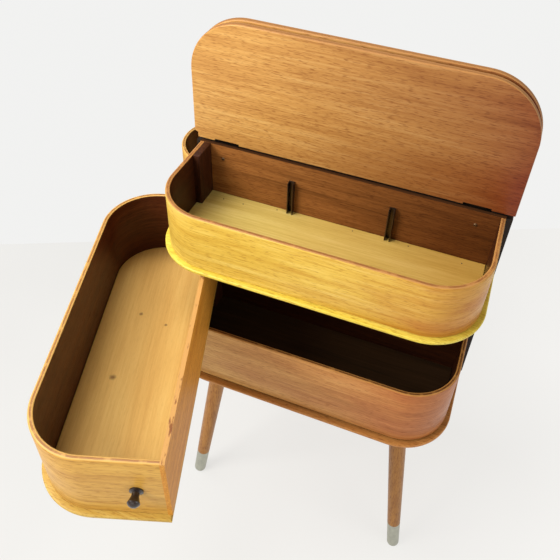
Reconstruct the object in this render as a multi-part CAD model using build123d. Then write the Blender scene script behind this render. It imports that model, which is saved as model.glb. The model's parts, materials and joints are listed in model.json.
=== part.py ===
from build123d import *
from math import asin, cos, sin, sqrt
import os

# A free-standing sewing box on four splayed legs.  A dark upright spine board carries two
# mirrored halves, front (-Y) and rear (+Y).  Each half has three half-stadium trays of bent
# ply: a fixed top tray under a hinged lid, a drawer that swivels out sideways on a steel rod
# at its left end, and a fixed bottom tray on the base board.
# Millimetres.  +Z is up, +X runs to the right along the spine, the front half faces -Y.
# The origin is on the floor, under the middle of the spine.  The solids stand as photographed:
# both lids upright, the front drawer swung far out and the rear one a little less.

# ---- trays, in plan ----
TRAY_WIDTH = 400.0          # length of a tray along the spine, over its bent wall
TRAY_DEPTH = 149.0          # from the spine's face to the front of the bent wall
TRAY_CORNER = 66.0          # outer radius of the two bent corners
WALL = 6.0                  # bent ply wall
BACK_BOARD = 5.0            # straight board that closes the tray's back
BASE_PLATE = 5.0            # plate under a tray, which stands out as a lip
LINING = 2.0                # pale birch panel laid inside
LIP = 6.5                   # how far a base plate stands out past the wall
LIP_ROUND = 2.0             # rounding along a lip's edges
LINING_GAP = 0.8            # play between a lining and the walls round it

# ---- heights above the floor ----
BASE_HEIGHT = 337.0         # underside of the base board, so the legs' height
BOTTOM_TRAY_HEIGHT = 101.0  # bottom tray's wall
DRAWER_HEIGHT = 100.0       # drawer's wall
TOP_TRAY_HEIGHT = 80.0      # top tray's wall
SHADOW_GAP = 4.0            # plinth between the bottom tray's wall and the base board
PLINTH_INSET = 3.0          # how far the plinth stands back from the wall
SWIVEL_GAP = 1.5            # gap over and under a drawer, taken up by washers

# ---- spine ----
SPINE_THICKNESS = 22.0
SPINE_OVERHANG = 8.0        # how far the spine stands out past the trays' ends
SPINE_DROP = 3.0            # spine's top edge below the top tray's rim

# ---- lids and their hinges ----
LID = 9.0
LID_OVERHANG = 9.5          # past the top tray's wall
LID_ROUND = 1.5
LID_SEAT = 0.3              # between a closed lid and the rim
LID_GAP = 2.6               # between the two closed lids, over the spine
HINGE_FORWARD = 5.2         # hinge axis in front of the spine's middle plane
HINGE_RAISE = 6.8           # hinge axis above the top tray's rim
HINGE_INSET = 36.0          # from the tray's end to the middle of a hinge
HINGE_LENGTH = 34.0
KNUCKLE_RADIUS = 2.5
HINGE_PIN_RADIUS = 1.0
HINGE_LEAF = 1.0            # thickness of the sheet leaves
HINGE_FIT = 0.05            # radial play of pin in knuckle
HINGE_PLAY = 0.4            # play at the ends of knuckles and in the mortise
HINGE_BASE_DEPTH = 8.0      # leaf that lies on the spine, front to back
PLATE_OFFSET = 3.2          # middle of the lid's leaf in front of the axis

# ---- drawer pivots ----
PIVOT_INSET = 10.0          # rod's axis from the tray's left end
PIVOT_DEPTH = 22.0          # rod's axis in front of the spine's face
ROD_RADIUS = 2.5
ROD_FIT = 0.05
ROD_HEAD_RADIUS = 3.8       # as large as the corner beside the bent wall allows
ROD_HEAD = 1.5
ROD_SEAT = 20.0             # length of rod let into the post below
POST_WIDTH = 16.0           # corner block that the rod runs through, along the spine
POST_DEPTH = 26.0
WASHER_RADIUS = 7.0
BACK_CLEARANCE = 0.6        # between a drawer's back and the spine
SWEEP_CLEARANCE = 0.35      # between a turning drawer's corner and the spine

# ---- how far the drawers and lids stand open, in degrees, as photographed ----
FRONT_OPEN_ANGLE = 72.0
REAR_OPEN_ANGLE = 68.5
LID_OPEN_ANGLE = 90.0

# ---- small fittings ----
KNOB_DEPTH = 32.8           # knob's axis in front of the spine's face
KNOB_FLANGE_RADIUS = 7.2
KNOB_FLANGE = 2.6
KNOB_NECK_RADIUS = 4.0
KNOB_END_RADIUS = 6.6
KNOB_WAIST = 6.0            # height of the neck over the wall
KNOB_FLARE = 7.0            # from the neck to the knob's widest
KNOB_LENGTH = 17.0
CHANNEL_LEFT = 70.5         # divider channels, to the left and right of the middle
CHANNEL_RIGHT = 65.0
CHANNEL_WIDTH = 8.0
CHANNEL_DEPTH = 5.0
CHANNEL_SHEET = 1.0
CHANNEL_TOP = 27.0          # below the rim
SCREW_INSET = 32.0          # from the tray's end to a screw through its back board
SCREW_DOWN = 21.0           # below the rim
SCREW_RADIUS = 1.75
SCREW_HEAD_RADIUS = 3.5
SCREW_HEAD = 1.6
SCREW_CROWN_RADIUS = 1.9    # flat on top of the round head
SCREW_BITE = 9.0            # length of shank in the spine
SCREW_FIT = 0.1

# ---- legs ----
LEG_END_INSET = 64.0        # leg's axis under the base board, from the tray's end
LEG_FRONT_INSET = 60.0      # and from the tray's front
LEG_SPLAY_SIDE = 45.5       # how far the foot stands further out, sideways
LEG_SPLAY_FRONT = 30.5      # and to the front
LEG_TOP_RADIUS = 13.5
LEG_FOOT_RADIUS = 9.8
FERRULE_LENGTH = 60.0
FERRULE_WALL = 0.9
FERRULE_END = 3.0           # thickness of the ferrule's closed end
FERRULE_ROUND = 6.0
FERRULE_FIT = 0.05
FERRULE_BELOW = 1.0         # the end reaches this far past the axis's foot and is cut flat
BOLT_RADIUS = 4.0
BOLT_IN_LEG = 30.0
BOLT_COVER = 0.5            # wood left over the bolt's tip
BOLT_FIT = 0.05

CUT_OVER = 1.0              # how far a cut runs past what it cuts

# ---- levels and planes worked out from the sizes above ----
spine_face = -SPINE_THICKNESS / 2
base_top = BASE_HEIGHT + BASE_PLATE
plinth_top = base_top + SHADOW_GAP
bottom_rim = plinth_top + BOTTOM_TRAY_HEIGHT
drawer_low = bottom_rim + SWIVEL_GAP
drawer_floor = drawer_low + BASE_PLATE
drawer_rim = drawer_floor + DRAWER_HEIGHT
top_low = drawer_rim + SWIVEL_GAP
top_floor = top_low + BASE_PLATE
top_rim = top_floor + TOP_TRAY_HEIGHT
spine_top = top_rim - SPINE_DROP
left_end = -TRAY_WIDTH / 2
inner_width = TRAY_WIDTH - 2 * WALL
inner_corner = TRAY_CORNER - WALL
tray_front = spine_face - TRAY_DEPTH
board_face = spine_face - BACK_BOARD
pivot_x = left_end + PIVOT_INSET
pivot_y = spine_face - PIVOT_DEPTH
hinge_y = -HINGE_FORWARD
hinge_z = top_rim + HINGE_RAISE


def plan(width, back, front, corner, lowest, height):
    """Half-stadium slab: straight at the back (towards the spine), two round front corners."""
    depth = back - front
    outline = Pos(0, back - depth / 2) * Rectangle(width, depth)
    ends = outline.vertices().sort_by(Axis.Y)[:2]
    return Pos(0, 0, lowest) * extrude(fillet(ends, corner), height)


def block(low, high):
    """Box between two opposite corners."""
    size = [b - a for a, b in zip(low, high)]
    middle = [(a + b) / 2 for a, b in zip(low, high)]
    return Pos(*middle) * Box(*size)


def on_pivot(radius, low, high):
    """Upright cylinder on the drawer's pivot axis."""
    return Pos(pivot_x, pivot_y, (low + high) / 2) * Cylinder(radius, high - low)


def rod_hole(low, high, radius=ROD_RADIUS + ROD_FIT):
    """Hole on the pivot axis that runs out past both levels."""
    return on_pivot(radius, low - CUT_OVER, high + CUT_OVER)


def pivot_round(overhang):
    """Corner radius that lets a drawer's back left corner turn clear of the spine."""
    reach = PIVOT_DEPTH - SWEEP_CLEARANCE
    side = PIVOT_INSET + overhang
    back = PIVOT_DEPTH - BACK_CLEARANCE
    # a corner round of radius r reaches hypot(side - r, back - r) + r from the pivot
    b = side + back - reach
    return b + sqrt(max(b * b - side * side - back * back + reach * reach, 0.0))


def drawer_outline(overhang, low, height):
    """A drawer's outline with its pivot corner rounded, used to trim what makes the drawer."""
    back = spine_face - BACK_CLEARANCE
    body = plan(TRAY_WIDTH + 2 * overhang, back, tray_front - overhang,
                TRAY_CORNER + overhang, low, height)
    corner = body.edges().filter_by(Axis.Z).sort_by(Axis.Y)[-2:].sort_by(Axis.X)[0]
    return fillet(corner, pivot_round(overhang))


def bent_wall(low, height, board_front):
    """Bent ply wall: the tray's two ends and its front, open to the back board."""
    outer = plan(TRAY_WIDTH, board_front, tray_front, TRAY_CORNER, low, height)
    inner = plan(inner_width, board_front + CUT_OVER, tray_front + WALL,
                 inner_corner, low, height)
    return outer - inner


def back_board(low, height, back):
    """Straight board over the full length of the tray, its ends flush with the bent wall."""
    return block((left_end, back - BACK_BOARD, low), (-left_end, back, low + height))


def lining(low, board_front):
    """Loose pale panel on the floor of a tray."""
    return plan(inner_width - 2 * LINING_GAP, board_front - LINING_GAP,
                tray_front + WALL + LINING_GAP, inner_corner - LINING_GAP, low, LINING)


def lip_plate(low):
    """Base plate whose rounded edge stands out as a lip round the wall."""
    plate = plan(TRAY_WIDTH + 2 * LIP, spine_face, tray_front - LIP, TRAY_CORNER + LIP,
                 low, BASE_PLATE)
    return round_lip(plate, low, BASE_PLATE, LIP_ROUND)


def round_lip(plate, low, thickness, radius):
    """Rounds the long top and bottom edges of a slab, leaving its straight back square."""
    back = plate.bounding_box().max.Y
    edges = [e for e in plate.edges()
             if min(abs(e.center().Z - low), abs(e.center().Z - low - thickness)) < 0.01
             and e.center().Y < back - 0.01]
    return fillet(edges, radius)


def post(low, high, board_front):
    """Wooden corner block that guides the pivot rod."""
    x0 = left_end + WALL
    return block((x0, board_front - POST_DEPTH, low), (x0 + POST_WIDTH, board_front, high))


def post_recess(low, board_front):
    """Room cut for a post in a lining."""
    x1 = left_end + WALL + POST_WIDTH + LINING_GAP
    return block((left_end, board_front - POST_DEPTH - LINING_GAP, low - CUT_OVER),
                 (x1, board_front + CUT_OVER, low + LINING + CUT_OVER))


def screws(rim, grow=0.0):
    """Two round-head screws through a back board into the spine, or their holes."""
    made = []
    z = rim - SCREW_DOWN
    shank = BACK_BOARD + SCREW_BITE + grow
    for side in (-1, 1):
        x = side * (TRAY_WIDTH / 2 - SCREW_INSET)
        core = Cylinder(SCREW_RADIUS + grow, shank)
        solid = Pos(x, board_face + shank / 2, z) * Rot(90, 0, 0) * core
        if not grow:
            head = Cone(SCREW_HEAD_RADIUS, SCREW_CROWN_RADIUS, SCREW_HEAD)
            solid += Pos(x, board_face - SCREW_HEAD / 2, z) * Rot(90, 0, 0) * head
        made.append(solid)
    return made


def divider_channels():
    """Sheet-metal U-channels that a loose divider would slide into, on both long walls."""
    made = []
    high = top_rim - CHANNEL_TOP
    low = top_floor + LINING
    for x in (-CHANNEL_LEFT, CHANNEL_RIGHT):
        for wall_y, inward in ((board_face, -1), (tray_front + WALL, 1)):
            y1 = wall_y + inward * CHANNEL_DEPTH
            outer = block((x - CHANNEL_WIDTH / 2, min(wall_y, y1), low),
                          (x + CHANNEL_WIDTH / 2, max(wall_y, y1), high))
            y0 = wall_y + inward * CHANNEL_SHEET
            y2 = y1 + inward * CUT_OVER
            half = CHANNEL_WIDTH / 2 - CHANNEL_SHEET
            slot = block((x - half, min(y0, y2), low), (x + half, max(y0, y2), high))
            made.append(outer - slot)
    return made


def knob(rim):
    """Turned knob on the drawer's right end, the end away from the pivot."""
    dome = KNOB_LENGTH - KNOB_WAIST - KNOB_FLARE
    sphere = (KNOB_END_RADIUS ** 2 + dome ** 2) / (2 * dome)
    half = asin(KNOB_END_RADIUS / sphere) / 2
    edge = (KNOB_END_RADIUS, KNOB_WAIST + KNOB_FLARE)
    profile = Polyline((0, 0), (KNOB_FLANGE_RADIUS, 0), (KNOB_FLANGE_RADIUS, KNOB_FLANGE / 2),
                       (KNOB_NECK_RADIUS, KNOB_FLANGE), (KNOB_NECK_RADIUS, KNOB_WAIST), edge)
    on_dome = (sphere * sin(half), KNOB_LENGTH - sphere * (1 - cos(half)))
    profile += ThreePointArc(edge, on_dome, (0, KNOB_LENGTH))
    profile += Line((0, KNOB_LENGTH), (0, 0))
    turned = revolve(Rot(90, 0, 0) * make_face(profile), Axis.Z)
    z = rim - (DRAWER_HEIGHT + BASE_PLATE) / 2
    return Pos(-left_end, spine_face - KNOB_DEPTH, z) * Rot(0, 90, 0) * turned


# ---- hinges ----
def hinge_places():
    return (left_end + HINGE_INSET, -left_end - HINGE_INSET)


def along_x(radius, length, x):
    """Cylinder on the hinge axis."""
    return Pos(x, hinge_y, hinge_z) * Rot(0, 90, 0) * Cylinder(radius, length)


def third():
    return HINGE_LENGTH / 3


def lid_leaf(x):
    """Leaf let into the lid's mortise, with the two outer knuckles."""
    y = hinge_y - PLATE_OFFSET
    plate_low = top_rim + 2 * LID_SEAT
    leaf = block((x - HINGE_LENGTH / 2, y - HINGE_LEAF / 2, plate_low),
                 (x + HINGE_LENGTH / 2, y + HINGE_LEAF / 2, hinge_z + KNUCKLE_RADIUS))
    bore = along_x(HINGE_PIN_RADIUS + HINGE_FIT, HINGE_LENGTH + 2 * CUT_OVER, x)
    for side in (-1, 1):
        middle = x + side * (third() + HINGE_PLAY / 2)
        length = third() - HINGE_PLAY
        web = block((middle - length / 2, y, hinge_z - KNUCKLE_RADIUS / 2),
                    (middle + length / 2, hinge_y, hinge_z + KNUCKLE_RADIUS / 2))
        leaf += along_x(KNUCKLE_RADIUS, length, middle) + web
    return leaf - bore


def spine_leaf(x):
    """Leaf that lies on the spine's top edge, with the middle knuckle on a short upstand."""
    y0 = hinge_y - HINGE_BASE_DEPTH / 2
    foot = block((x - HINGE_LENGTH / 2, y0, spine_top),
                 (x + HINGE_LENGTH / 2, y0 + HINGE_BASE_DEPTH, spine_top + HINGE_LEAF))
    half = (third() - HINGE_PLAY) / 2
    upstand = block((x - half, hinge_y - HINGE_LEAF / 2, spine_top),
                    (x + half, hinge_y + HINGE_LEAF / 2, hinge_z))
    knuckle = along_x(KNUCKLE_RADIUS, 2 * half, x)
    return foot + upstand + knuckle - along_x(HINGE_PIN_RADIUS + HINGE_FIT, 4 * half, x)


def hinge_pin(x):
    return along_x(HINGE_PIN_RADIUS, HINGE_LENGTH, x)


def lid():
    """Half-stadium lid, closed, with a mortise for each hinge in its back edge."""
    low = top_rim + LID_SEAT
    back = -LID_GAP / 2
    slab = plan(TRAY_WIDTH + 2 * LID_OVERHANG, back, tray_front - LID_OVERHANG,
                TRAY_CORNER + LID_OVERHANG, low, LID)
    slab = round_lip(slab, low, LID, LID_ROUND)
    for x in hinge_places():
        half = HINGE_LENGTH / 2 + HINGE_PLAY
        front = hinge_y - PLATE_OFFSET - HINGE_LEAF / 2
        slab -= block((x - half, front, low - CUT_OVER),
                      (x + half, back + CUT_OVER, low + LID + CUT_OVER))
    return slab


# ---- legs ----
def all_above(level):
    """Slab wider than the box, to cut away what stands above a level."""
    wide = 2 * TRAY_WIDTH
    return Pos(0, 0, level + TOP_TRAY_HEIGHT / 2) * Box(wide, wide, TOP_TRAY_HEIGHT)


def all_below(level):
    return all_above(level - TOP_TRAY_HEIGHT)


def leg_frame(side):
    """Placement whose Z runs up a front leg's axis from the floor; side is -1 or +1."""
    head = Vector(-side * (left_end + LEG_END_INSET), tray_front + LEG_FRONT_INSET, BASE_HEIGHT)
    foot = head + Vector(side * LEG_SPLAY_SIDE, -LEG_SPLAY_FRONT, -BASE_HEIGHT)
    return Plane(origin=foot, z_dir=head - foot), (head - foot).length


def leg_radius(distance, length):
    """Radius of the leg's taper at a distance up its axis."""
    return LEG_FOOT_RADIUS + (LEG_TOP_RADIUS - LEG_FOOT_RADIUS) * distance / length


def taper(low, high, length, inset=0.0):
    """Stretch of the leg's cone between two distances up its axis."""
    cone = Cone(leg_radius(low, length) - inset, leg_radius(high, length) - inset, high - low)
    return Pos(0, 0, (low + high) / 2) * cone


def leg(side):
    """Tapered leg with a tenon for the ferrule, cut level under the base board."""
    plane, length = leg_frame(side)
    over = LEG_TOP_RADIUS
    shaft = taper(FERRULE_LENGTH, length + over, length)
    shaft += taper(FERRULE_END, FERRULE_LENGTH, length, FERRULE_WALL + FERRULE_FIT)
    bore_length = BOLT_IN_LEG + over
    bore = Pos(0, 0, length - BOLT_IN_LEG + bore_length / 2)
    shaft -= bore * Cylinder(BOLT_RADIUS + BOLT_FIT, bore_length)
    return plane.location * shaft - all_above(BASE_HEIGHT)


def ferrule(side):
    """Metal shoe over the leg's end, with a rounded nose cut flat on the floor."""
    plane, length = leg_frame(side)
    outside = taper(-FERRULE_BELOW, FERRULE_LENGTH, length)
    nose = outside.edges().filter_by(GeomType.CIRCLE).sort_by(Axis.Z)[0]
    outside = fillet(nose, FERRULE_ROUND)
    outside -= taper(FERRULE_END - FERRULE_FIT, FERRULE_LENGTH, length, FERRULE_WALL)
    return plane.location * outside - all_below(0)


def leg_bolt(side, grow=0.0):
    """Hanger bolt from the leg up into the base board and plinth, or its hole."""
    plane, length = leg_frame(side)
    reach = BOLT_IN_LEG + 2 * (BASE_PLATE + SHADOW_GAP)
    rod = Pos(0, 0, length - BOLT_IN_LEG + reach / 2) * Cylinder(BOLT_RADIUS + grow, reach)
    return plane.location * rod - all_above(plinth_top - BOLT_COVER + grow)


# ---- one half of the box, everything closed ----
def top_tray():
    low = top_floor
    board = back_board(low, TOP_TRAY_HEIGHT, spine_face)
    plate = lip_plate(top_low) - rod_hole(top_low, top_floor)
    panel = lining(low, board_face)
    panel -= rod_hole(low, low + LINING, ROD_HEAD_RADIUS + LINING_GAP)
    for hole in screws(top_rim, SCREW_FIT):
        board -= hole
    return {
        "top_tray_wall": bent_wall(low, TOP_TRAY_HEIGHT, board_face),
        "top_tray_back": board,
        "top_tray_base": plate,
        "top_tray_lining": panel,
        "divider_channels": divider_channels(),
    }


def drawer():
    low = drawer_floor
    back = spine_face - BACK_CLEARANCE
    front = back - BACK_BOARD
    trim = drawer_outline(0.0, low, DRAWER_HEIGHT)
    plate = drawer_outline(LIP, drawer_low, BASE_PLATE)
    plate = round_lip(plate, drawer_low, BASE_PLATE, LIP_ROUND)
    hole = rod_hole(drawer_low, drawer_rim)
    board = back_board(low, DRAWER_HEIGHT, back)
    return {
        "drawer_wall": bent_wall(low, DRAWER_HEIGHT, front) & trim,
        "drawer_back": board & trim,
        "drawer_base": plate - hole,
        "drawer_lining": lining(low, front) - post_recess(low, front),
        "drawer_pivot_block": post(low, drawer_rim, front) - hole,
        "drawer_knob": knob(drawer_rim),
    }


def bottom_tray():
    low = plinth_top
    board = back_board(low, BOTTOM_TRAY_HEIGHT, spine_face)
    for hole in screws(bottom_rim, SCREW_FIT):
        board -= hole
    corner_post = post(low, bottom_rim, board_face)
    corner_post -= on_pivot(ROD_RADIUS + ROD_FIT, bottom_rim - ROD_SEAT, bottom_rim + CUT_OVER)
    plinth = plan(TRAY_WIDTH - 2 * PLINTH_INSET, spine_face, tray_front + PLINTH_INSET,
                  TRAY_CORNER - PLINTH_INSET, base_top, SHADOW_GAP)
    for side in (-1, 1):
        plinth -= leg_bolt(side, BOLT_FIT)
    panel = lining(low, board_face) - post_recess(low, board_face)
    return {
        "bottom_tray_wall": bent_wall(low, BOTTOM_TRAY_HEIGHT, board_face),
        "bottom_tray_back": board,
        "bottom_tray_lining": panel,
        "bottom_tray_pivot_post": corner_post,
        "plinth": plinth,
        "tray_screws": screws(top_rim) + screws(bottom_rim),
    }


def pivot():
    """Steel rod that the drawer swings on, and the two washers that space it."""
    rod = on_pivot(ROD_RADIUS, bottom_rim - ROD_SEAT, top_floor)
    rod += on_pivot(ROD_HEAD_RADIUS, top_floor, top_floor + ROD_HEAD)
    washers = []
    for low, high in ((bottom_rim, drawer_low), (drawer_rim, top_low)):
        disc = on_pivot(WASHER_RADIUS, low, high)
        washers.append(disc - rod_hole(low, high))
    return {"pivot_rod": rod, "pivot_washers": washers}


def lid_set():
    return {"lid": lid(), "lid_hinge_leaves": [lid_leaf(x) for x in hinge_places()]}


def spine_hinges():
    return {
        "spine_hinge_leaves": [spine_leaf(x) for x in hinge_places()],
        "hinge_pins": [hinge_pin(x) for x in hinge_places()],
    }


def legs():
    made = {"leg_bolts": [leg_bolt(side) for side in (-1, 1)]}
    for side, name in ((-1, "left"), (1, "right")):
        made[name + "_leg"] = leg(side)
        made[name + "_ferrule"] = ferrule(side)
    return made


def spine():
    """Upright board from the base board to just under the lids."""
    half = TRAY_WIDTH / 2 + SPINE_OVERHANG
    board = block((-half, spine_face, base_top), (half, -spine_face, spine_top))
    for rim in (top_rim, bottom_rim):
        for hole in screws(rim, SCREW_FIT):
            board = board - hole - mirror(hole, Plane.XZ)
    return board


def base_board():
    """Board under both halves: its lip runs all round, and the legs bolt to it."""
    half = plan(TRAY_WIDTH + 2 * LIP, 0, tray_front - LIP, TRAY_CORNER + LIP,
                BASE_HEIGHT, BASE_PLATE)
    for side in (-1, 1):
        half -= leg_bolt(side, BOLT_FIT)
    board = half + mirror(half, Plane.XZ)
    rims = [e for e in board.edges()
            if min(abs(e.center().Z - BASE_HEIGHT), abs(e.center().Z - base_top)) < 0.01
            and e.length > 4 * LEG_TOP_RADIUS]
    return fillet(rims, LIP_ROUND)


def moved(shape, placement):
    """Applies a mirror or a turn to one solid or to each of a group."""
    return [placement(s) for s in shape] if isinstance(shape, list) else placement(shape)


def turned_about_rod(side, angle):
    axis = Axis((pivot_x, side * -pivot_y, 0), (0, 0, 1))
    return lambda s: s.rotate(axis, angle)


def lid_raised(side, angle):
    axis = Axis((0, side * -hinge_y, hinge_z), (1, 0, 0))
    return lambda s: s.rotate(axis, angle)


def save(name, shape):
    solids = shape if isinstance(shape, list) else [shape]
    solids = [s for one in solids for s in one.solids()]
    export_step(solids[0] if len(solids) == 1 else Compound(children=solids),
                f"parts/{name}.step")


def main():
    os.makedirs("parts", exist_ok=True)
    swinging = drawer()
    lifting = lid_set()
    half = {**top_tray(), **swinging, **bottom_tray(), **pivot(), **lifting,
            **spine_hinges(), **legs()}
    for prefix, side, drawer_angle, lid_angle in (("front", -1, -FRONT_OPEN_ANGLE, -LID_OPEN_ANGLE),
                                                  ("rear", 1, REAR_OPEN_ANGLE, LID_OPEN_ANGLE)):
        for name, shape in half.items():
            if side > 0:
                shape = moved(shape, lambda s: mirror(s, Plane.XZ))
            if name in swinging:
                shape = moved(shape, turned_about_rod(side, drawer_angle))
            if name in lifting:
                shape = moved(shape, lid_raised(side, lid_angle))
            save(f"{prefix}_{name}", shape)
    save("spine_board", spine())
    save("base_board", base_board())
    print("rims", bottom_rim, drawer_rim, top_rim, "pivot", pivot_x, pivot_y,
          "hinge", hinge_y, hinge_z)


main()
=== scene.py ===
# %% [markdown]
# # A sewing box with drawers
#
# Six half-stadium trays of bent ply hang on a dark spine board: two top trays under hinged
# lids, two drawers that swing out sideways on steel rods, and two bottom trays over four
# splayed legs.  The measured model gives every solid its place; this lesson gives them the
# veneers, the ply edges, the small hardware and the light of the photograph.

# %% Load the measured model
import bpy
import bmesh
import json
from math import radians, sin, cos, pi
from mathutils import Matrix, Vector


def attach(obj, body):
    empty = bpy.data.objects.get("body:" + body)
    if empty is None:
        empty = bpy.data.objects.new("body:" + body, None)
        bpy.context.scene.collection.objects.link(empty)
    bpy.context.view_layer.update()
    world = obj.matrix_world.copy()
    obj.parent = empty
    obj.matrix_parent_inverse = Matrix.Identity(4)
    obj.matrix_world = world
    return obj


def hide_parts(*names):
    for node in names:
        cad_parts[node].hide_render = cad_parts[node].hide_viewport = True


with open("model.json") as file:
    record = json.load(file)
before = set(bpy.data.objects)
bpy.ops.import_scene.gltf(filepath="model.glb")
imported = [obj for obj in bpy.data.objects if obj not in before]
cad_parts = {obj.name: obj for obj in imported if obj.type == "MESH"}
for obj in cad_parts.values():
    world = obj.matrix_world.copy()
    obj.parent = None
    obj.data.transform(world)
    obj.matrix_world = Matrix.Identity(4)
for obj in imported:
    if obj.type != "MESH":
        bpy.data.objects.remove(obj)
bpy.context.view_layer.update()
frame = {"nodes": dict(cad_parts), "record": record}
nodes = frame["nodes"]

# %% [markdown]
# ## The camera
# A photograph that is cropped off-centre needs a lens shift, because its vanishing point no
# longer sits in the middle.  The place, the lens and the shift below were found by matching
# the trays' rims and lips to the photograph.

# %% Place the camera
PHOTO = 560                      # the photograph's width and height
FOCUS = 651.677                  # distance of the lens, in the photograph's pixels
CENTRE = (300.309, 216.576)      # pixel that the lens looks straight at
AZIMUTH, ELEVATION, ROLL = -18.121, 40.609, 3.417        # degrees
STANDPOINT = (0.153159, -0.652655, 1.130894)             # metres
SENSOR = 36.0                                            # millimetres


def photo_camera():
    azimuth, elevation, roll = radians(AZIMUTH), radians(ELEVATION), radians(ROLL)
    level = cos(elevation)
    forward = Vector((sin(azimuth) * level, cos(azimuth) * level, -sin(elevation)))
    right = Vector((cos(azimuth), -sin(azimuth), 0.0))
    up = right.cross(forward)
    right, up = cos(roll) * right + sin(roll) * up, cos(roll) * up - sin(roll) * right
    data = bpy.data.cameras.new("photo_camera")
    data.sensor_width = SENSOR
    data.lens = FOCUS / PHOTO * data.sensor_width
    data.shift_x = (PHOTO / 2 - CENTRE[0]) / PHOTO
    data.shift_y = (CENTRE[1] - PHOTO / 2) / PHOTO
    data.clip_start, data.clip_end = 0.05, 60.0
    camera = bpy.data.objects.new("photo_camera", data)
    place = Matrix((right, up, -forward)).transposed().to_4x4()
    place.translation = STANDPOINT
    camera.matrix_world = place
    bpy.context.scene.collection.objects.link(camera)
    bpy.context.scene.camera = camera
    return camera


camera = photo_camera()
print("lens", round(camera.data.lens, 2), "shift", camera.data.shift_x, camera.data.shift_y)

# %% [markdown]
# ## Small helpers for shader trees
# Every finish here is a node tree.  These helpers add a node, link it and return its socket,
# so that a material reads as a recipe instead of a page of wiring.

# %% Shader helpers
METAL_GLOSS, WOOD_GLOSS = 0.5, 0.18              # old lacquer hardly mirrors the room


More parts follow.
